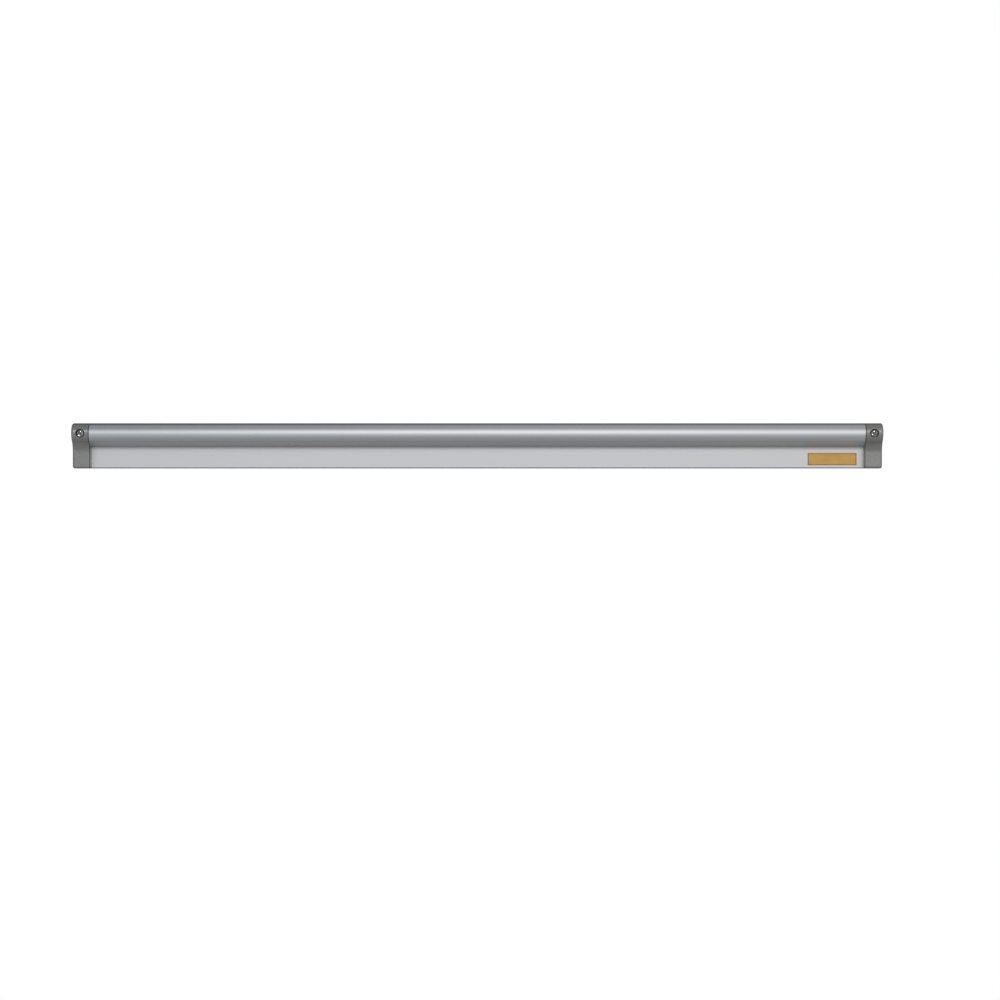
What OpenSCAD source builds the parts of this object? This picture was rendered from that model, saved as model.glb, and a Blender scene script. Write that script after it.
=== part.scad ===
/* [Rail] */
// Overall length over both end caps
overall_l = 915; // [300:5:1220]
// Height of the rail
rail_h = 51; // [46:0.5:64]
// Thickness of the back plate
plate_t = 2; // [1.6:0.1:3]
// Chamfer on the front of the plate's bottom edge
plate_chamfer = 1.4; // [0.5:0.1:1.5]
// Fillet where the hood leaves the plate
root_r = 1.2; // [0.5:0.1:2]

/* [Hood] */
// Wall thickness of the hood
hood_t = 1.5; // [1.2:0.1:2.5]
// Room between a marble and the hood's curve
hood_room = 2; // [1.5:0.1:3]
// How far in front of a resting marble the hood's curve is centred
hood_lead = 1.7; // [1:0.1:3]
// Slope of the ramp in degrees above level
ramp_tilt = 35; // [28:1:42]
// Length of the ramp along its middle
ramp_l = 8.3; // [6:0.1:9]
// Radius of the bead along the lip
lip_r = 0.8; // [0.8:0.1:1.5]

/* [Marbles] */
// Diameter of a marble
marble_d = 16; // [14:0.1:17.5]
// Marbles loaded, fewer where the channel is too short for them
marble_load = 52; // [4:1:54]
// Running gap round a marble
marble_gap = 0.3; // [0.2:0.05:0.5]

/* [End caps] */
// Width of an end cap
cap_w = 20; // [18:0.5:26]
// Depth of the cap's lower face from the wall
cap_foot_d = 11.6; // [9:0.1:13]
// Height at which the cap's sweep leaves the lower face
cap_sweep_h = 17; // [10:0.5:20]
// Rounding along the foot's front bottom edge
cap_foot_r = 2.5; // [2.4:0.1:3.2]
// Rounding round the outer end of the cap
cap_edge_r = 2.2; // [1.4:0.1:2.3]
// Width of the groove round the seam with the rail
seam_w = 0.9; // [0.4:0.1:1.2]
// Depth of the groove round the seam
seam_deep = 1.1; // [0.6:0.1:1.1]
// Rounding of the cap along the groove
seam_r = 0.4; // [0.2:0.1:0.6]
// Wall thickness of the moulding
cap_wall = 1.8; // [1.4:0.1:2.2]
// Thickness of the stiffening ribs
cap_rib_t = 1.2; // [0.8:0.1:1.6]
// How far the plug reaches into the channel
plug_l = 12; // [8:0.5:20]
// Clearance round the plug
plug_gap = 0.2; // [0.1:0.05:0.4]

/* [Mounting screws] */
// Diameter of the screw head
head_d = 8.8; // [8:0.1:10]
// Height of the screw head
head_h = 3.4; // [2.6:0.1:4]
// How far the head's dome falls away at its rim
head_fall = 1.4; // [1:0.1:1.8]
// Width of the cross recess
cross_w = 1.4; // [1:0.1:1.6]
// Span of the cross recess
cross_span = 5.6; // [4:0.1:6]
// Depth of the cross recess
cross_deep = 2.2; // [1.4:0.1:2.4]
// Diameter of the cone in the middle of the cross, at the top of the head
cross_core_d = 3.4; // [2.4:0.1:3.8]
// Diameter of that cone at the floor of the cross
cross_core_floor_d = 1.6; // [1.5:0.1:2.2]
// How far the left screw's cross is turned from upright
cross_turn_left = 36; // [0:1:89]
// How far the right screw's cross is turned from upright
cross_turn_right = 52; // [0:1:89]
// Diameter of the plain shank
shank_d = 4.8; // [4:0.1:5.5]
// Diameter at the root of the wood thread
root_d = 3.8; // [3:0.1:3.9]
// Length of the screw that goes into the wall
bite_l = 19; // [12:1:32]
// Length of the screw's point
point_l = 4; // [3:0.5:6]
// Distance of the head's seat from the wall
seat_d = 19; // [16:0.5:20]
// Play of the head in its counterbore, on the diameter
head_play = 0.8; // [0.4:0.1:1.5]
// How far the counterbore flares at the cap's face
flare_w = 0.5; // [0.2:0.1:0.8]
// Depth of the flare below the front of the bulge
flare_deep = 1.8; // [1.4:0.1:2.4]
// Play of the shank in its hole, on the diameter
shank_play = 0.4; // [0.2:0.1:0.8]
// Wall of the screw boss
boss_wall = 1.6; // [1.2:0.1:2]

/* [Label] */
// Length of the foil label
label_l = 56; // [20:1:90]
// Height of the foil label
label_h = 14.3; // [8:0.1:16]
// Thickness of the foil label
label_t = 0.15; // [0.1:0.05:0.3]
// Height of the label above the rail's bottom edge
label_up = 3.5; // [2:0.1:6]
// Distance of the label from the right end cap
label_in = 7.4; // [3:0.1:40]
// Corner radius of the label
label_r = 0.6; // [0.3:0.1:1.5]

/* [Hidden] */
$fn = 96;
// Overrun of every cut
cut = 2;
// Where one curve runs on into another, they cross by this much and this many degrees
blend = 0.002;
blend_turn = 3;
// The cap's sweep dips this far into the bulge, so that the two meet in a clean line
sweep_nip = 0.03;
// Step to which the radius of the sweep is rounded
sweep_tidy = 0.001;

// The hood is the marble's circle with room round it, and everything below hangs on its centre
marble_r = marble_d / 2;
hood_in_r = marble_r + hood_room;
hood_out_r = hood_in_r + hood_t;
hood_mid_r = hood_in_r + hood_t / 2;
hood_d = plate_t + marble_gap + marble_r + hood_lead;
hood_h = rail_h - hood_out_r;

// The ramp leaves the hood's curve as its tangent: its height below the hood's centre, for the tangent
// of a circle of radius r, at a distance x in front of that centre
ramp_back = cos(ramp_tilt);
ramp_fall = sin(ramp_tilt);
function ramp_at(r, x) = (x * ramp_fall - r) / ramp_back;

// The lip's bead is centred where the middle of the ramp ends
lip_x = hood_mid_r * ramp_fall - ramp_l * ramp_back;
lip_z = ramp_at(hood_mid_r, lip_x);

// A marble at rest touches the plate and the ramp, but for the running gap
marble_rest_d = plate_t + marble_gap + marble_r;
marble_rest_h = hood_h + ramp_at(hood_room - marble_gap, -hood_lead);

// The channel between the two plugs and the marbles spread along it
rail_l = overall_l - 2 * cap_w;
channel_l = rail_l - 2 * plug_l;
marble_n = min(marble_load, floor((channel_l - marble_gap) / (marble_d + marble_gap)));
marble_space = (channel_l - marble_n * marble_d) / (marble_n + 1);

// The cap's sweep is an arc that touches the lower face and dips into the bulge
bulge_r = hood_out_r;
dip_r = bulge_r - sweep_nip;
sweep_drop = hood_h - cap_sweep_h;
foot_step = hood_d - cap_foot_d;
sweep_r = sweep_tidy * round((sweep_drop * sweep_drop + foot_step * foot_step - dip_r * dip_r)
    / (2 * (dip_r + foot_step) * sweep_tidy));
sweep_d = cap_foot_d + sweep_r;

// The screws sit on the line of the hood's centre, in the middle of each cap
screw_x = (overall_l - cap_w) / 2;
bore_r = (head_d + head_play) / 2;
hole_r = (shank_d + shank_play) / 2;
dome_r = (head_d * head_d / 4 + head_fall * head_fall) / (2 * head_fall);

function marble_name(i) = str("marble_", i < 10 ? "0" : "", i);
function marble_x(i) = (i - (marble_n + 1) / 2) * (marble_d + marble_space);

// Places a section drawn as depth from the wall and height above the bottom edge, run out along the rail
module run(l) {
    rotate([90, 0, 90])
        linear_extrude(height = l)
            mirror([1, 0])
                translate([0, -hood_h])
                    children();
}

// Turns a shape drawn as radius and run about a line along the rail at a given depth and height
module turn_about(d, h) {
    translate([0, -d, h - hood_h])
        rotate([0, 90, 0])
            rotate_extrude()
                children();
}

// What a rounding takes off the corner of a square
module corner_waste(r) {
    difference() {
        translate([-r, -r])
            square(r + cut);
        translate([-r, -r])
            circle(r);
    }
}

// What the groove round the seam takes off the corner of a wall
module seam_waste() {
    translate([-seam_deep, -cut])
        square([seam_deep + cut, seam_w + cut]);
    translate([0, seam_w])
        mirror([0, 1])
            corner_waste(seam_r);
}

// A wall seen along its edge: reach outwards, run along the rail, its outer end rounded
module cap_wall_form(reach) {
    difference() {
        square([reach, cap_w]);
        translate([reach, cap_w])
            corner_waste(cap_edge_r);
    }
}

// The same with the groove round the seam
module front_wall_form(reach) {
    difference() {
        cap_wall_form(reach);
        translate([reach, 0])
            seam_waste();
    }
}

// What a chamfer takes off the corner of a square
module chamfer_waste(c) {
    polygon([[-c - cut, cut], [cut, -c - cut], [cut, cut]]);
}

// The hood drawn solid at a radius about its centre, back to a depth, with the ramp ended at x and low
module hood_form(r, back, x, low) {
    translate([hood_d, hood_h]) {
        intersection() {
            circle(r);
            polygon([[0, 0], 2 * r * [sin(ramp_tilt - blend_turn), -cos(ramp_tilt - blend_turn)],
                [2 * r, 0], [2 * r, 2 * r], [0, 2 * r]]);
        }
        polygon([[back - hood_d, r], [back - hood_d, low], [x, low], [x, ramp_at(r - blend, x)],
            (r - blend) * [ramp_fall, -ramp_back], [r / 2, 0], [0, r]]);
    }
}

// What the fillet in the root corner takes of the channel, grown by a margin
module root_fill(margin) {
    translate([plate_t + root_r, rail_h - hood_t - root_r])
        difference() {
            translate([-root_r - cut, 0])
                square(root_r + cut);
            circle(root_r - margin);
        }
}

// Section of the aluminium profile
module rail_section() {
    difference() {
        hood_form(hood_out_r, 0, lip_x - lip_r, ramp_at(hood_out_r, lip_x - lip_r) - cut);
        difference() {
            hood_form(hood_in_r, plate_t, lip_x, -rail_h);
            root_fill(0);
        }
    }
    difference() {
        square([plate_t, rail_h]);
        translate([plate_t, 0])
            mirror([0, 1])
                chamfer_waste(plate_chamfer);
    }
    translate([hood_d + lip_x, hood_h + lip_z])
        circle(lip_r);
}

// Room inside the hood above the lip, drawn in by a margin, back to a depth
module channel_room(margin, back) {
    r = hood_in_r - margin;
    x = lip_x + lip_r + margin;
    hood_form(r, back, x, ramp_at(r, x) - margin);
}

// Section of an end cap, drawn in by a margin
module cap_section(margin) {
    translate([hood_d, hood_h])
        circle(bulge_r - margin);
    translate([0, margin])
        square([cap_foot_d - margin, hood_h - margin]);
    translate([0, hood_h])
        square([hood_d, bulge_r - margin]);
    difference() {
        polygon([[0, cap_sweep_h], [sweep_d, cap_sweep_h], [hood_d, hood_h], [0, hood_h]]);
        translate([sweep_d, cap_sweep_h])
            circle(sweep_r + margin);
    }
}

// The cap's outer form from the seam outwards, with every edge worked along its own curve. The groove stays
// off the top and the underside
module cap_skin() {
    turn_about(hood_d, hood_h)
        front_wall_form(bulge_r);
    // Top, running back to the wall
    rotate([90, 0, 0])
        linear_extrude(height = hood_d)
            mirror([1, -1])
                cap_wall_form(bulge_r);
    // Lower face
    translate([0, 0, cap_foot_r - hood_h])
        linear_extrude(height = hood_h - cap_foot_r)
            rotate(-90)
                front_wall_form(cap_foot_d);
    // Rounded toe and the underside
    turn_about(cap_foot_d - cap_foot_r, cap_foot_r)
        front_wall_form(cap_foot_r);
    translate([0, 0, cap_foot_r - hood_h])
        rotate([90, 0, 0])
            linear_extrude(height = cap_foot_d - cap_foot_r)
                rotate(-90)
                    cap_wall_form(cap_foot_r);
    // Concave sweep from the lower face out to the bulge
    difference() {
        run(cap_w)
            polygon([[0, cap_sweep_h], [sweep_d, cap_sweep_h], [hood_d, hood_h], [0, hood_h]]);
        turn_about(sweep_d, cap_sweep_h) {
            translate([0, -cut])
                square([sweep_r, cap_w + 2 * cut]);
            translate([sweep_r, cap_w])
                mirror([1, 0])
                    corner_waste(cap_edge_r);
            translate([sweep_r, 0])
                mirror([1, 0])
                    seam_waste();
        }
    }
}

// One end cap, its seam at zero and its closed end outwards
module end_cap() {
    color("dimgray")
        difference() {
            union() {
                difference() {
                    cap_skin();
                    // Cored out from the wall side
                    translate([cap_wall, 0, 0])
                        run(cap_w - 2 * cap_wall)
                            cap_section(cap_wall);
                }
                // Screw boss: a column off the wall under a cup for the head
                intersection() {
                    union() {
                        translate([cap_w / 2, 0, 0])
                            rotate([90, 0, 0]) {
                                cylinder(h = seat_d, r = hole_r + boss_wall);
                                translate([0, 0, seat_d - boss_wall])
                                    cylinder(h = rail_h, r = bore_r + boss_wall);
                            }
                        // Upright rib from the boss down to the foot, and a shelf behind the sweep
                        translate([(cap_w - cap_rib_t) / 2, 0, 0])
                            run(cap_rib_t)
                                square([hood_d + bulge_r, hood_h]);
                        translate([cap_wall, 0, 0])
                            run(cap_w - 2 * cap_wall)
                                translate([0, cap_sweep_h])
                                    square([sweep_d, cap_rib_t]);
                    }
                    translate([cap_wall / 2, 0, 0])
                        run(cap_w - cap_wall)
                            cap_section(cap_wall / 2);
                }
                // Plug in the channel: it closes the end and stops the last marble
                difference() {
                    translate([-plug_l, 0, 0])
                        run(plug_l + cap_wall)
                            difference() {
                                channel_room(plug_gap, plate_t + plug_gap);
                                root_fill(plug_gap);
                            }
                    translate([cap_wall - plug_l, 0, 0])
                        run(plug_l - cap_wall)
                            channel_room(plug_gap + cap_wall, plate_t);
                }
            }
            translate([cap_w / 2, cut, 0])
                rotate([90, 0, 0])
                    cylinder(h = rail_h, r = hole_r);
            translate([cap_w / 2, -seat_d, 0])
                rotate([90, 0, 0])
                    cylinder(h = rail_h, r = bore_r);
            translate([cap_w / 2, flare_deep - hood_d - bulge_r, 0])
                rotate([90, 0, 0])
                    cylinder(h = 2 * flare_deep, r1 = bore_r, r2 = bore_r + 2 * flare_w);
        }
}

// Pan head wood screw, its seat at the cap's counterbore floor and its point in the wall
module mounting_screw(cross_turn) {
    color("gainsboro")
        translate([0, -seat_d, 0])
            rotate([90, 0, 0])
                difference() {
                    rotate_extrude() {
                        intersection() {
                            square([head_d / 2, head_h]);
                            translate([0, head_h - dome_r])
                                circle(dome_r);
                        }
                        // Shank, thread root and point, run on up into the head
                        polygon([[0, -seat_d - bite_l], [root_d / 2, point_l - seat_d - bite_l],
                            [root_d / 2, -seat_d], [shank_d / 2, -seat_d],
                            [shank_d / 2, head_h - cross_deep], [0, head_h - cross_deep]]);
                    }
                    translate([0, 0, head_h - cross_deep]) {
                        for (a = [0, 90])
                            rotate(cross_turn + a)
                                translate([-cross_span / 2, -cross_w / 2, 0])
                                    cube([cross_span, cross_w, head_h]);
                        cylinder(h = cross_deep, r1 = cross_core_floor_d / 2, r2 = cross_core_d / 2);
                    }
                }
}

// The drawn aluminium profile: back plate, hood, ramp and lip in one length
module rail() {
    color("silver")
        translate([-rail_l / 2, 0, 0])
            run(rail_l)
                rail_section();
}

// Blank foil label near the right end of the plate
module label() {
    color("goldenrod")
        translate([rail_l / 2 - label_in - label_l, -plate_t, label_up - hood_h])
            rotate([90, 0, 0])
                linear_extrude(height = label_t)
                    difference() {
                        square([label_l, label_h]);
                        translate([label_l, label_h])
                            corner_waste(label_r);
                        translate([0, label_h])
                            mirror([1, 0])
                                corner_waste(label_r);
                        translate([label_l, 0])
                            mirror([0, 1])
                                corner_waste(label_r);
                        rotate(180)
                            corner_waste(label_r);
                    }
}

// One glass marble, counted from the left end
module marble(i) {
    color("lightcyan")
        translate([marble_x(i), -marble_rest_d, marble_rest_h - hood_h])
            sphere(marble_r);
}

rail();
translate([rail_l / 2, 0, 0]) end_cap();  // end_cap_right
mirror([1, 0, 0]) translate([rail_l / 2, 0, 0]) end_cap();  // end_cap_left
translate([-screw_x, 0, 0]) mounting_screw(cross_turn_left);  // screw_left
translate([screw_x, 0, 0]) mounting_screw(cross_turn_right);  // screw_right
label();
for (i = [1:marble_n])
    marble(i);
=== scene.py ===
"""Looks of a wall-mounted order ticket rail: a satin aluminium profile between moulded end caps, bright wood
screws, a blank foil label and loose glass marbles, on a plain pale set in soft studio light."""
import math

import bmesh
import bpy
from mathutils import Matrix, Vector


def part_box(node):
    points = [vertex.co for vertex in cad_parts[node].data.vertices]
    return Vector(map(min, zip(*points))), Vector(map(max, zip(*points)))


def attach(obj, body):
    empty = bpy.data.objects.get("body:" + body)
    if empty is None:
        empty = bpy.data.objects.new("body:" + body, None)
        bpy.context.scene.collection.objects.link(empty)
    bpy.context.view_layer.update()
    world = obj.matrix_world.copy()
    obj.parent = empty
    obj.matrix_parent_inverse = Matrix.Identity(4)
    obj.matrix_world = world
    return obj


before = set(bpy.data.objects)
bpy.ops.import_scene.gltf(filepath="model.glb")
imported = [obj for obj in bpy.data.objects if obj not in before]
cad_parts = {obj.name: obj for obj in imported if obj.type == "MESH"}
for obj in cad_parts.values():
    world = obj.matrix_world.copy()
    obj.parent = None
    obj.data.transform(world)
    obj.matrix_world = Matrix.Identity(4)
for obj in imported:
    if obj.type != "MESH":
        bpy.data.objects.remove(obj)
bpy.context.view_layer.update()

# Sizes are in metres and angles in degrees, but the camera's lens and sensor are in millimetres
MM = 0.001
CAMERA_AT = (0.0256, -3.041, -0.0752)
CAMERA_PITCH = 90
CAMERA_LENS = 96.5
CAMERA_SENSOR = 36.0
FLOOR_Z = -2.8
FLOOR_HALF = 4.0
PAPER_WHITE = 1.0

# Softened edges: the rays for each, and the cosines of the normal's lean at a worn edge and on an open face
BEVEL_SAMPLES = 6
EDGE_LEAN = (0.90, 0.995)

# Stretches of a noise's range, each of which can be spread over a whole scale
MIDDLE = (0.3, 0.7)
NARROW = (0.35, 0.65)
TIGHT = (0.4, 0.6)

# Aluminium: features to the metre along each axis
DRAWN_LINES = (2.5, 2400, 2400)
STREAKS = (0.9, 380, 380)
CLOUDING = (16, 70, 70)
# Shares of the streaks and the clouding in its tone
STREAK_SHARE = 0.3
CLOUD_SHARE = 0.7
# Heights between which the hood's finish gives way to the plate's
PLATE_FROM = -11.0 * MM
PLATE_UNTIL = -13.0 * MM
# Heights at which the shade under the lip begins, is deepest and ends
LIP_FROM = -11.0 * MM
LIP_DEEPEST = -14.6 * MM
LIP_UNTIL = -19.0 * MM
# Depths between which the finish of the back gives way to that of the front
FRONT_FROM = -0.5 * MM
FRONT_UNTIL = -1.5 * MM
ALUMINIUM = ((0.79, 0.80, 0.81, 1), (0.83, 0.835, 0.84, 1))
ALUMINIUM_PLATE_PAINTED_LIGHT = (0.93, 0.93, 0.93, 1)
ALUMINIUM_PAINTED_SHADE = (0.05, 0.05, 0.052, 1)
ALUMINIUM_EDGE = (0.90, 0.90, 0.905, 1)
# An amount says how much of a colour is laid over the rest
PLATE_LIGHT_AMOUNT = 0.8
LIP_SHADE_AMOUNT = 0.42
RAIL_EDGE_AMOUNT = 0.25
RAIL_EDGE_R = 0.35 * MM
# Where the lines and streaks together go from smooth to rough
DRAWN_RANGE = (0.6, 1.4)
DRAWN_ROUGHNESS = (0.27, 0.30)
PLATE_ROUGHER = 0.15
# A bump is given by its depth and strength
RAIL_BUMP = (0.006 * MM, 0.5)

# Moulded plastic: features to the metre along each axis
SPARK_GRAIN = (2600, 2600, 2600)
SPARK_PITS = (900, 900, 900)
FLOW = (60, 60, 140)
# Radius of the counterbore round each screw head, and how far out of it and into it the painted shade fades
BORE_R = 4.8 * MM
BORE_OUTWARD = 0.25 * MM
BORE_INWARD = 0.05 * MM
# Places towards the upper left of a screw between which the painted shade in the counterbore deepens
BORE_SHADE_PLACES = (-4.0 * MM, 3.0 * MM)
BORE_SHADE_DEPTHS = (0.4, 0.97)
# Width of the painted shade in the groove round the seam, how softly it ends and how dark it is
SEAM_W = 0.9 * MM
SEAM_FADE = 0.1 * MM
SEAM_SHADE_DEPTH = 0.8
PLASTIC = ((0.310, 0.302, 0.291, 1), (0.355, 0.346, 0.334, 1))
PLASTIC_PIT = (0.17, 0.168, 0.164, 1)
PLASTIC_EDGE = (0.42, 0.415, 0.41, 1)
PLASTIC_PAINTED_SHADE = (0.02, 0.02, 0.02, 1)
# Levels between which the pits get darker, and how much they do
PIT_RANGE = (0.42, 0.3)
PIT_AMOUNT = 0.25
CAP_EDGE_AMOUNT = 0.35
CAP_EDGE_R = 0.3 * MM
CAP_METALLIC = 0.42
CAP_SPECULAR = 1.0
CAP_COAT = 0.8
CAP_COAT_ROUGHNESS = 0.16
# Roughness follows the pits, and edges count against it
CAP_ROUGH_RANGE = (0.2, 0.8)
CAP_ROUGHNESS = (0.24, 0.36)
CAP_EDGE_POLISH = -0.3
# How much deeper the pits are than the grain
PIT_HEIGHT = 1.5
CAP_BUMP = (0.03 * MM, 0.6)

# Screws: features to the metre, out from the axis and along each axis of space
TURNING_RINGS = 5200
HANDLING = (700, 700, 700)
# Depths behind the top of the dome between which the recess begins, and radii between which it ends
RECESS_FROM = 0.55 * MM
RECESS_UNTIL = 1.3 * MM
RECESS_RADII = (3.1 * MM, 2.8 * MM)
ZINC = ((0.42, 0.405, 0.39, 1), (0.52, 0.505, 0.485, 1))
ZINC_RECESS_SHADE = (0.07, 0.065, 0.06, 1)
ZINC_EDGE = (0.90, 0.89, 0.88, 1)
RECESS_SHADE_AMOUNT = 0.75
SCREW_EDGE_AMOUNT = 0.5
SCREW_EDGE_R = 0.18 * MM
SCREW_ROUGHNESS = (0.06, 0.11)
RECESS_ROUGHER = 0.3
SCREW_BUMP = (0.01 * MM, 0.35)

# Label: features to the metre along each axis
FOIL_BRUSH = (60, 900, 1500)
FOIL_CLOUD = (90, 90, 90)
# Distances in from the label's edge at which the printed border begins and ends and the foil is worn
RULE_BEGINS = (0.8 * MM, 0.95 * MM)
RULE_ENDS = (1.45 * MM, 1.3 * MM)
WORN_WIDTH = 0.4 * MM
FOIL = ((0.80, 0.46, 0.125, 1), (0.90, 0.55, 0.18, 1))
FOIL_WORN = (0.82, 0.66, 0.42, 1)
FOIL_RULE = (0.15, 0.06, 0.02, 1)
RULE_AMOUNT = 0.9
FOIL_METALLIC = 0.55
# Roughness follows the brush marks, and the border adds to it
RULE_ROUGHER = 0.4
FOIL_ROUGH_RANGE = (0.3, 1.0)
FOIL_ROUGHNESS = (0.3, 0.5)
FOIL_BUMP = (0.01 * MM, 0.4)

# Marbles: features to the metre along each axis
GLASS_CAST = (55, 55, 55)
GLASS_WAVES = (160, 160, 160)
GLASS = ((0.80, 0.93, 0.87, 1), (0.93, 0.97, 0.95, 1))
GLASS_ROUGHNESS = (0.01, 0.06)
GLASS_IOR = 1.52
GLASS_BUMP = (0.05 * MM, 0.3)

# The wood thread on each screw, which begins a little behind the wall plane and is sunk a little in the root
THREAD_PITCH = 1.8 * MM
THREAD_RIDGE = 0.55 * MM
THREAD_HALF_WIDTH = 0.5 * MM
THREAD_SINK = 0.08 * MM
THREAD_FROM = 1.2 * MM
# Steps to a turn
THREAD_STEPS = 32
# Share of the ridge that is left at the point, and share of its width that its crest has
THREAD_LEFT = 0.12
THREAD_CREST = 0.12
# Radius of the screw's root and length of its point
ROOT_R = 1.9 * MM
POINT_L = 4.0 * MM

# A low lamp: its azimuth and elevation as seen from the rail, how large it is and how strong
LOW_SIDE = (-38, -27)
LOW = {"distance": 5.0, "size": (0.7, 0.5), "power": 8.5, "colour": (1, 1, 1)}
# Small lamps that reach one screw head each: the azimuth and elevation of the face that glints to the camera
GLINTS = (("screw_left", 4, 12.5), ("screw_left", -11.5, -20),
          ("screw_right", -4, 12.5), ("screw_right", -16, -11))
GLINT = {"distance": 5.0, "size": (1.4, 1.15), "power": 32.0, "colour": (1, 0.99, 0.97)}
# A strip that reaches the end caps alone
SHEEN_SIDE = (-5, 26.5)
SHEEN = {"distance": 5.0, "size": (3.0, 0.5), "power": 18.0, "colour": (1, 1, 1)}

# Brightness of the studio's dull walls by the angle up from straight in front, and over the top to behind
WALLS = ((-180, 0.15), (-120, 0.20), (-90, 0.27), (-60, 0.30), (-30, 0.32), (60, 0.34), (80, 0.38),
         (96, 0.38), (113, 0.17), (180, 0.12))
# The same walls to the left, where the room is darker overhead, and the side angles where they come in
WALLS_LEFT = ((-180, 0.15), (-120, 0.20), (-90, 0.27), (-60, 0.30), (-30, 0.31), (20, 0.27), (50, 0.21),
              (80, 0.29), (96, 0.29), (113, 0.10), (180, 0.07))
LEFT_FROM = 2
LEFT_UNTIL = -10
# A tall soft screen in front of them, by the same angle up
SCREEN = ((-70, 0.0), (-52, 0.01), (-28, 0.11), (-12, 0.31), (4, 0.69), (12, 0.85), (20, 0.81), (28, 0.62),
          (36, 0.40), (44, 0.23), (54, 0.08), (68, 0.02), (90, 0.0))
# How the screen falls off by the angle to the side, from left to right, and the tint of it all
SCREEN_SIDES = ((-90, 0.22), (-16, 0.17), (-9, 0.28), (-6, 0.96), (-4.5, 1.19), (-1.5, 1.33), (1.5, 1.26),
                (5, 0.93), (12, 0.52), (16, 0.39), (30, 0.30), (90, 0.28))
TINTS = ((-90, (0.92, 0.99, 1.04)), (-9, (0.92, 0.99, 1.04)), (-6, (0.945, 1.0, 1.045)),
         (0, (1.0, 1.0, 1.04)), (12, (1.0, 1.0, 1.02)), (30, (1.04, 0.99, 0.94)), (90, (1.04, 0.99, 0.94)))


class Shader:
    """One node tree under construction."""

    def __init__(self, tree):
        self.tree = tree
        tree.nodes.clear()

    def feed(self, socket, value):
        """Links a socket to another one, or sets its value."""
        if isinstance(value, bpy.types.NodeSocket):
            self.tree.links.new(value, socket)
        else:
            socket.default_value = value

    def add(self, kind, inputs=None, **settings):
        """A node with these inputs and settings."""
        made = self.tree.nodes.new(kind)
        for name, value in settings.items():
            setattr(made, name, value)
        for key, value in (inputs or {}).items():
            self.feed(made.inputs[key], value)
        return made

    def place(self):
        """The point that is shaded, where it lies on its piece at rest."""
        return self.add("ShaderNodeTexCoord").outputs["Object"]

    def axes(self, vector):
        return self.add("ShaderNodeSeparateXYZ", {"Vector": vector}).outputs

    def noise(self, at, per_metre, detail):
        """Noise with its own number of features to the metre along each axis."""
        spread = self.add("ShaderNodeMapping", {"Vector": at, "Scale": per_metre})
        made = self.add("ShaderNodeTexNoise", {
            "Vector": spread.outputs["Vector"], "Scale": 1.0, "Detail": detail})
        return made.outputs["Fac"]

    def level(self, value, lo, hi, to_lo=0.0, to_hi=1.0):
        """The value moved from one range to another, and held at its ends."""
        made = self.add("ShaderNodeMapRange", {
            "Value": value, "From Min": lo, "From Max": hi, "To Min": to_lo, "To Max": to_hi})
        return made.outputs["Result"]

    def maths(self, operation, a, b=0.0):
        return self.add("ShaderNodeMath", {0: a, 1: b}, operation=operation).outputs["Value"]

    def times(self, a, b):
        return self.maths("MULTIPLY", a, b)

    def plus(self, a, b):
        return self.maths("ADD", a, b)

    def mix(self, factor, a, b):
        """The colour a, giving way to b as the factor goes from 0 to 1."""
        made = self.add("ShaderNodeMix", data_type="RGBA")
        sockets = {s.identifier: s for s in made.inputs}
        for key, value in (("Factor_Float", factor), ("A_Color", a), ("B_Color", b)):
            self.feed(sockets[key], value)
        return {s.identifier: s for s in made.outputs}["Result_Color"]

    def overlay(self, base, mask, amount, colour):
        """The base with this amount of a colour over it where the mask is 1."""
        return self.mix(self.times(mask, amount), base, colour)

    def ramp(self, factor, stops):
        """Colours by a factor from 0 to 1, from pairs of a place and a colour."""
        made = self.add("ShaderNodeValToRGB", {"Fac": factor})
        elements = made.color_ramp.elements
        while len(elements) < len(stops):
            elements.new(0.5)
        for element, (place, colour) in zip(elements, stops):
            element.position = place
            element.color = colour
        return made.outputs["Color"]

    def by_angle(self, angle, reach, stops):
        """Colours that change with an angle in radians, by stops in degrees that reach as far each way."""
        along = self.level(angle, -math.radians(reach), math.radians(reach))
        return self.ramp(along, [((at + reach) / (2 * reach), colour) for at, colour in stops])

    def edge(self, radius):
        """A softened normal, and 1 on sharp edges falling to 0 on open faces."""
        soft = self.add("ShaderNodeBevel", {"Radius": radius}, samples=BEVEL_SAMPLES).outputs["Normal"]
        true = self.add("ShaderNodeNewGeometry").outputs["Normal"]
        same = self.add("ShaderNodeVectorMath", {0: soft, 1: true}, operation="DOT_PRODUCT").outputs["Value"]
        return soft, self.level(same, *EDGE_LEAN, 1.0, 0.0)

    def bump(self, height, depth, strength, normal=None):
        inputs = {"Height": height, "Distance": depth, "Strength": strength}
        if normal is not None:
            inputs["Normal"] = normal
        return self.add("ShaderNodeBump", inputs).outputs["Normal"]

    def finish(self, kind, inputs):
        surface = self.add(kind, inputs)
        out = self.add("ShaderNodeOutputMaterial")
        self.tree.links.new(surface.outputs[0], out.inputs["Surface"])


def material(name):
    """A new material, and the shader to build it with."""
    made = bpy.data.materials.new(name)
    made.use_nodes = True
    return made, Shader(made.node_tree)


def grey(value, tint=(1, 1, 1)):
    """A grey of this brightness under a tint."""
    return (value * tint[0], value * tint[1], value * tint[2], 1)


def off_axis(s, at):
    """Distance from the nearer screw's axis, and how far towards its upper left."""
    low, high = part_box("screw_left")
    x, _, z = s.axes(at)
    centre = s.times(s.maths("SIGN", x), abs(low.x + high.x) / 2)
    across = s.maths("SUBTRACT", x, centre)
    radius = s.maths("SQRT", s.plus(s.times(across, across), s.times(z, z)))
    return radius, s.maths("SUBTRACT", z, across)


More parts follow.
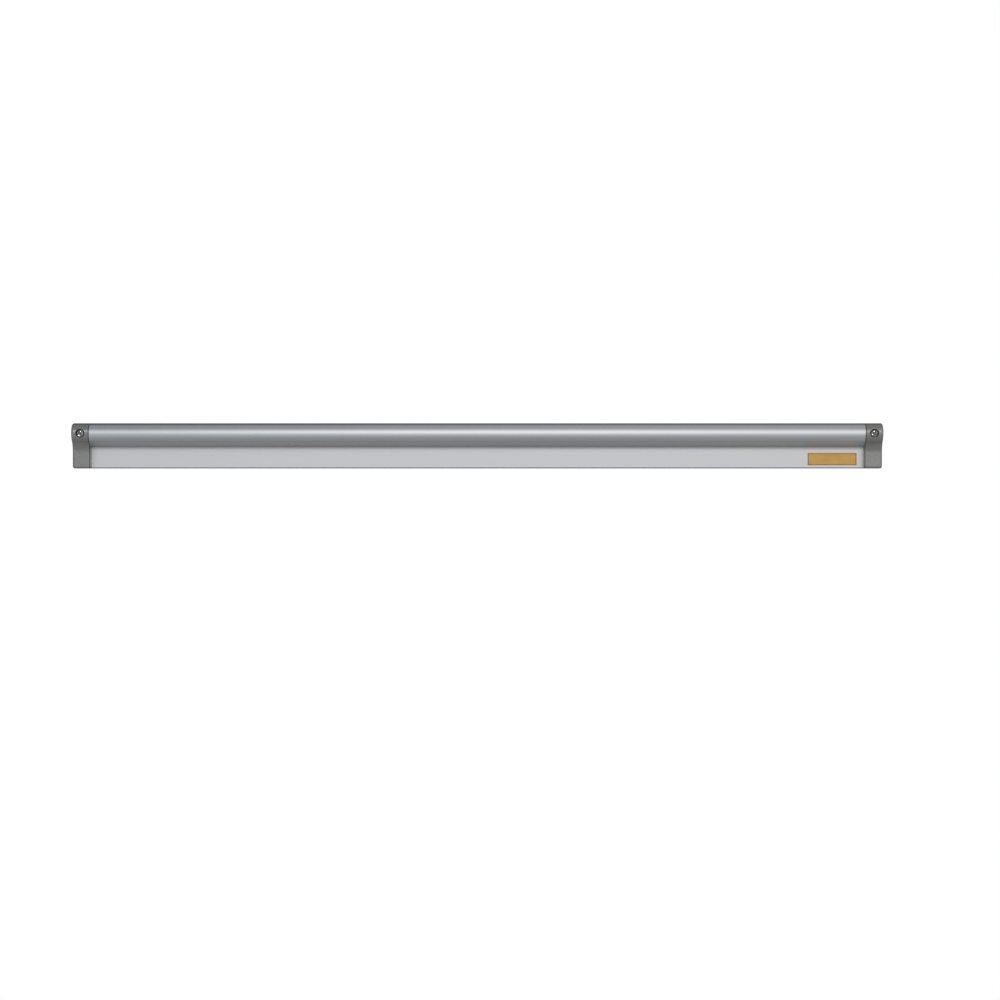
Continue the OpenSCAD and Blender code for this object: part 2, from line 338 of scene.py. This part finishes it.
def satin_aluminium():
    """Drawn and clear anodised: lines along the rail, soft clouding, cut edges a little brighter, the plate
    under the hood duller and painted lighter than the hood itself for the light it takes, and painted shade
    under the lip."""
    made, s = material("satin_aluminium")
    at = s.place()
    _, y, z = s.axes(at)
    lines = s.noise(at, DRAWN_LINES, detail=3)
    streaks = s.noise(at, STREAKS, detail=2)
    cloud = s.noise(at, CLOUDING, detail=3)
    soft, edges = s.edge(RAIL_EDGE_R)
    tone = s.plus(s.times(streaks, STREAK_SHARE), s.times(cloud, CLOUD_SHARE))
    # The back of the profile has one finish, and no lip over it
    front = s.level(y, FRONT_FROM, FRONT_UNTIL)
    plate = s.times(front, s.level(z, PLATE_FROM, PLATE_UNTIL))
    # Painted shade under the lip, laid on the front only
    painted_lip_shade = s.times(s.level(z, LIP_FROM, LIP_DEEPEST), s.level(z, LIP_UNTIL, LIP_DEEPEST))
    base = s.mix(s.level(tone, *MIDDLE), *ALUMINIUM)
    # Painted light: the plate is given a lighter tone than the hood, for the light it takes
    base = s.overlay(base, plate, PLATE_LIGHT_AMOUNT, ALUMINIUM_PLATE_PAINTED_LIGHT)
    base = s.overlay(base, s.times(painted_lip_shade, front), LIP_SHADE_AMOUNT, ALUMINIUM_PAINTED_SHADE)
    base = s.overlay(base, edges, RAIL_EDGE_AMOUNT, ALUMINIUM_EDGE)
    drawn = s.level(s.plus(lines, streaks), *DRAWN_RANGE, *DRAWN_ROUGHNESS)
    s.finish("ShaderNodeBsdfPrincipled", {
        "Base Color": base,
        "Metallic": 1.0,
        "Roughness": s.plus(drawn, s.times(plate, PLATE_ROUGHER)),
        "Normal": s.bump(lines, *RAIL_BUMP, soft)})
    return made


def moulded_plastic():
    """Grey moulding with a fine spark-eroded texture, faint flow clouding, polished-off edges, and painted
    shade in the counterbores and in the grooves round the seams."""
    made, s = material("moulded_plastic")
    at = s.place()
    grain = s.noise(at, SPARK_GRAIN, detail=2)
    pits = s.noise(at, SPARK_PITS, detail=3)
    flow = s.noise(at, FLOW, detail=3)
    soft, edges = s.edge(CAP_EDGE_R)
    radius, up_left = off_axis(s, at)
    # Painted shade inside each counterbore, deepest towards its upper left
    bore_shade = s.level(radius, BORE_R + BORE_OUTWARD, BORE_R - BORE_INWARD)
    bore_shade = s.times(bore_shade, s.level(up_left, *BORE_SHADE_PLACES, *BORE_SHADE_DEPTHS))
    # Painted shade in a band just past each end of the rail, where the cap meets it
    past_rail = s.maths("SUBTRACT", s.maths("ABSOLUTE", s.axes(at)["X"]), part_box("rail")[1].x)
    seam_shade = s.level(past_rail, SEAM_W + SEAM_FADE, SEAM_W - SEAM_FADE)
    painted_shade = s.maths("MAXIMUM", bore_shade, s.times(seam_shade, SEAM_SHADE_DEPTH))
    base = s.mix(s.level(flow, *MIDDLE), *PLASTIC)
    base = s.overlay(base, s.level(pits, *PIT_RANGE), PIT_AMOUNT, PLASTIC_PIT)
    base = s.overlay(base, edges, CAP_EDGE_AMOUNT, PLASTIC_EDGE)
    base = s.mix(painted_shade, base, PLASTIC_PAINTED_SHADE)
    rough = s.plus(pits, s.times(edges, CAP_EDGE_POLISH))
    s.finish("ShaderNodeBsdfPrincipled", {
        "Base Color": base,
        "Roughness": s.level(rough, *CAP_ROUGH_RANGE, *CAP_ROUGHNESS),
        # Metallic rises where the counterbore's painted shade is, so it reflects next to no light
        "Metallic": s.maths("MAXIMUM", bore_shade, CAP_METALLIC),
        "Specular IOR Level": CAP_SPECULAR,
        "Coat Weight": CAP_COAT,
        "Coat Roughness": CAP_COAT_ROUGHNESS,
        "Normal": s.bump(s.plus(grain, s.times(pits, PIT_HEIGHT)), *CAP_BUMP, soft)})
    return made


def bright_screw():
    """Bright zinc or chrome on a pressed head: fine turning rings, and a rougher floor in the recess with
    painted shade on it.
    """
    made, s = material("bright_screw")
    at = s.place()
    radius, _ = off_axis(s, at)
    rings = s.add("ShaderNodeTexNoise", {"W": s.times(radius, TURNING_RINGS), "Scale": 1.0, "Detail": 1.0},
                  noise_dimensions="1D").outputs["Fac"]
    handling = s.noise(at, HANDLING, detail=3)
    soft, edges = s.edge(SCREW_EDGE_R)
    # The recess lies behind the dome and inside the cross
    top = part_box("screw_left")[0].y
    sunk = s.level(s.axes(at)["Y"], top + RECESS_FROM, top + RECESS_UNTIL)
    inside = s.times(sunk, s.level(radius, *RECESS_RADII))
    base = s.mix(s.level(handling, *NARROW), *ZINC)
    # Painted shade on the floor of the recess
    base = s.overlay(base, inside, RECESS_SHADE_AMOUNT, ZINC_RECESS_SHADE)
    base = s.overlay(base, edges, SCREW_EDGE_AMOUNT, ZINC_EDGE)
    handled = s.level(handling, *MIDDLE, *SCREW_ROUGHNESS)
    s.finish("ShaderNodeBsdfPrincipled", {
        "Base Color": base,
        "Metallic": 1.0,
        "Roughness": s.plus(handled, s.times(inside, RECESS_ROUGHER)),
        "Normal": s.bump(rings, *SCREW_BUMP, soft)})
    return made


def foil_label():
    """Gold foil left blank inside a thin printed border."""
    made, s = material("foil_label")
    low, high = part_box("label")
    at = s.place()
    x, _, z = s.axes(at)

    def inward(place, start, end):
        """Distance in from the nearer of the label's two ends."""
        from_middle = s.maths("ABSOLUTE", s.maths("SUBTRACT", place, (start + end) / 2))
        return s.maths("SUBTRACT", (end - start) / 2, from_middle)

    inset = s.maths("MINIMUM", inward(x, low.x, high.x), inward(z, low.z, high.z))
    rule = s.times(s.level(inset, *RULE_BEGINS), s.level(inset, *RULE_ENDS))
    brush = s.noise(at, FOIL_BRUSH, detail=3)
    cloud = s.noise(at, FOIL_CLOUD, detail=3)
    worn = s.times(s.level(inset, WORN_WIDTH, 0.0), s.level(brush, *TIGHT))
    base = s.mix(s.level(cloud, *MIDDLE), *FOIL)
    base = s.mix(worn, base, FOIL_WORN)
    base = s.overlay(base, rule, RULE_AMOUNT, FOIL_RULE)
    rough = s.plus(brush, s.times(rule, RULE_ROUGHER))
    s.finish("ShaderNodeBsdfPrincipled", {
        "Base Color": base,
        "Metallic": FOIL_METALLIC,
        "Roughness": s.level(rough, *FOIL_ROUGH_RANGE, *FOIL_ROUGHNESS),
        "Normal": s.bump(brush, *FOIL_BUMP)})
    return made


def marble_glass():
    """Clear glass with a faint green cast and soft waves from the press."""
    made, s = material("marble_glass")
    at = s.place()
    cast = s.noise(at, GLASS_CAST, detail=2)
    waves = s.noise(at, GLASS_WAVES, detail=2)
    s.finish("ShaderNodeBsdfPrincipled", {
        "Base Color": s.mix(s.level(cast, *NARROW), *GLASS),
        "Roughness": s.level(waves, *MIDDLE, *GLASS_ROUGHNESS),
        "Transmission Weight": 1.0,
        "IOR": GLASS_IOR,
        "Normal": s.bump(waves, *GLASS_BUMP)})
    return made


def dress(names, made):
    """Gives these nodes one material."""
    for name in names:
        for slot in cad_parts[name].material_slots:
            slot.material = made


def wood_thread(name, screw, made):
    """A helical ridge wound round a screw's root, fading out at the plain shank and at the point."""
    low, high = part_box(screw)
    centre_x = (low.x + high.x) / 2
    length = high.y - THREAD_FROM
    turns = length / THREAD_PITCH
    count = round(turns * THREAD_STEPS)
    bm = bmesh.new()
    rings = []
    for i in range(count + 1):
        run = length * i / count
        y = THREAD_FROM + run
        to_point = max(high.y - y, 0.0) / POINT_L
        root = ROOT_R * min(1.0, to_point)
        fade = min(1.0, run / THREAD_PITCH, to_point + THREAD_LEFT)
        angle = math.tau * turns * i / count
        out = Vector((math.cos(angle), 0, math.sin(angle)))
        crest = root + THREAD_RIDGE * fade
        foot = max(root - THREAD_SINK, 0.0)
        half = THREAD_HALF_WIDTH * fade
        centre = Vector((centre_x, min(y, high.y - half), 0))
        outline = ((foot, -half), (crest, -THREAD_CREST * half), (crest, THREAD_CREST * half), (foot, half))
        rings.append([bm.verts.new(centre + out * r + Vector((0, along, 0))) for r, along in outline])
    sides = len(rings[0])
    for a, b in zip(rings, rings[1:]):
        for k in range(sides):
            bm.faces.new((a[k], b[k], b[(k + 1) % sides], a[(k + 1) % sides]))
    bm.faces.new(rings[0])
    bm.faces.new(reversed(rings[-1]))
    bmesh.ops.recalc_face_normals(bm, faces=bm.faces)
    mesh = bpy.data.meshes.new(name)
    bm.to_mesh(mesh)
    bm.free()
    mesh.materials.append(made)
    piece = bpy.data.objects.new(name, mesh)
    bpy.context.scene.collection.objects.link(piece)
    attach(piece, "base")


def facing(azimuth, elevation):
    """The direction at an azimuth to the right of the camera's side and an elevation."""
    a, e = math.radians(azimuth), math.radians(elevation)
    return Vector((math.sin(a) * math.cos(e), -math.cos(a) * math.cos(e), math.sin(e)))


def area_light(name, away, distance, size, power, colour, at=Vector()):
    """A softbox in a direction from the rail, or from another place."""
    data = bpy.data.lights.new(name, "AREA")
    data.shape = "RECTANGLE"
    data.size, data.size_y = size
    data.energy = power
    data.color = colour
    light = bpy.data.objects.new(name, data)
    light.location = at + away * distance
    light.rotation_euler = away.to_track_quat("Z", "Y").to_euler()
    light.visible_camera = False
    bpy.context.scene.collection.objects.link(light)
    return light


def reach_only(light, names):
    """Lets a lamp light these nodes and nothing else."""
    reach = bpy.data.collections.new("reach_of_" + light.name)
    for name in names:
        reach.objects.link(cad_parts[name])
    light.light_linking.receiver_collection = reach


def glint(number, screw, azimuth, elevation):
    """A softbox for one screw alone, where the face of its dome with this azimuth and elevation mirrors it to
    the camera."""
    low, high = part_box(screw)
    at = Vector(((low.x + high.x) / 2, low.y, (low.z + high.z) / 2))
    normal = facing(azimuth, elevation)
    seen = (Vector(CAMERA_AT) - at).normalized()
    away = 2 * normal.dot(seen) * normal - seen
    reach_only(area_light("glint_%d" % number, away, at=at, **GLINT), [screw])


def surroundings():
    """White to the camera, and in reflections a studio: a soft screen in front and dull walls round it."""
    world = bpy.data.worlds.new("studio")
    world.use_nodes = True
    bpy.context.scene.world = world
    s = Shader(world.node_tree)
    x, y, z = s.axes(s.add("ShaderNodeTexCoord").outputs["Generated"])
    up = s.maths("ARCTAN2", z, s.times(y, -1.0))
    aside = s.maths("ARCSINE", x)
    walls, walls_left, screen = (s.by_angle(up, 180, [(angle, grey(value)) for angle, value in stops])
                                 for stops in (WALLS, WALLS_LEFT, SCREEN))
    leftness = s.level(aside, math.radians(LEFT_FROM), math.radians(LEFT_UNTIL))
    walls = s.mix(leftness, walls, walls_left)
    falloff = s.by_angle(aside, 90, [(angle, grey(value)) for angle, value in SCREEN_SIDES])
    tint = s.by_angle(aside, 90, [(angle, grey(1.0, colour)) for angle, colour in TINTS])
    lit = s.add("ShaderNodeVectorMath", {0: screen, 1: falloff, 2: walls}, operation="MULTIPLY_ADD")
    lit = s.add("ShaderNodeVectorMath", {0: lit.outputs["Vector"], 1: tint}, operation="MULTIPLY")
    seen = s.add("ShaderNodeLightPath").outputs["Is Camera Ray"]
    out = s.add("ShaderNodeOutputWorld")
    shown = s.add("ShaderNodeBackground", {"Color": s.mix(seen, lit.outputs["Vector"], grey(PAPER_WHITE))})
    s.tree.links.new(shown.outputs[0], out.inputs["Surface"])


def floor():
    """A plain pale floor well below the rail, as white as the background and left out of the reflections."""
    mesh = bpy.data.meshes.new("floor")
    corners = [(x * FLOOR_HALF, y * FLOOR_HALF, FLOOR_Z) for x, y in ((-1, -1), (1, -1), (1, 1), (-1, 1))]
    mesh.from_pydata(corners, [], [(0, 1, 2, 3)])
    made, s = material("pale_floor")
    s.finish("ShaderNodeEmission", {"Color": grey(PAPER_WHITE)})
    mesh.materials.append(made)
    piece = bpy.data.objects.new("floor", mesh)
    piece.visible_glossy = False
    piece.visible_diffuse = False
    piece.visible_transmission = False
    bpy.context.scene.collection.objects.link(piece)


def camera():
    """A camera that looks level and square on at the rail."""
    data = bpy.data.cameras.new("camera")
    data.sensor_width = CAMERA_SENSOR
    data.lens = CAMERA_LENS
    made = bpy.data.objects.new("camera", data)
    made.location = CAMERA_AT
    made.rotation_euler = (math.radians(CAMERA_PITCH), 0, 0)
    bpy.context.scene.collection.objects.link(made)
    bpy.context.scene.camera = made


camera()
surroundings()
floor()
area_light("low", facing(*LOW_SIDE), **LOW)
reach_only(area_light("sheen", facing(*SHEEN_SIDE), **SHEEN), ["end_cap_left", "end_cap_right"])
for number, place in enumerate(GLINTS):
    glint(number, *place)

screw_metal = bright_screw()
dress(["rail"], satin_aluminium())
dress(["end_cap_left", "end_cap_right"], moulded_plastic())
dress(["screw_left", "screw_right"], screw_metal)
dress(["label"], foil_label())
dress([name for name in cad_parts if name.startswith("marble_")], marble_glass())
for side in ("left", "right"):
    wood_thread("thread_" + side, "screw_" + side, screw_metal)

bpy.context.scene.view_settings.view_transform = "Standard"
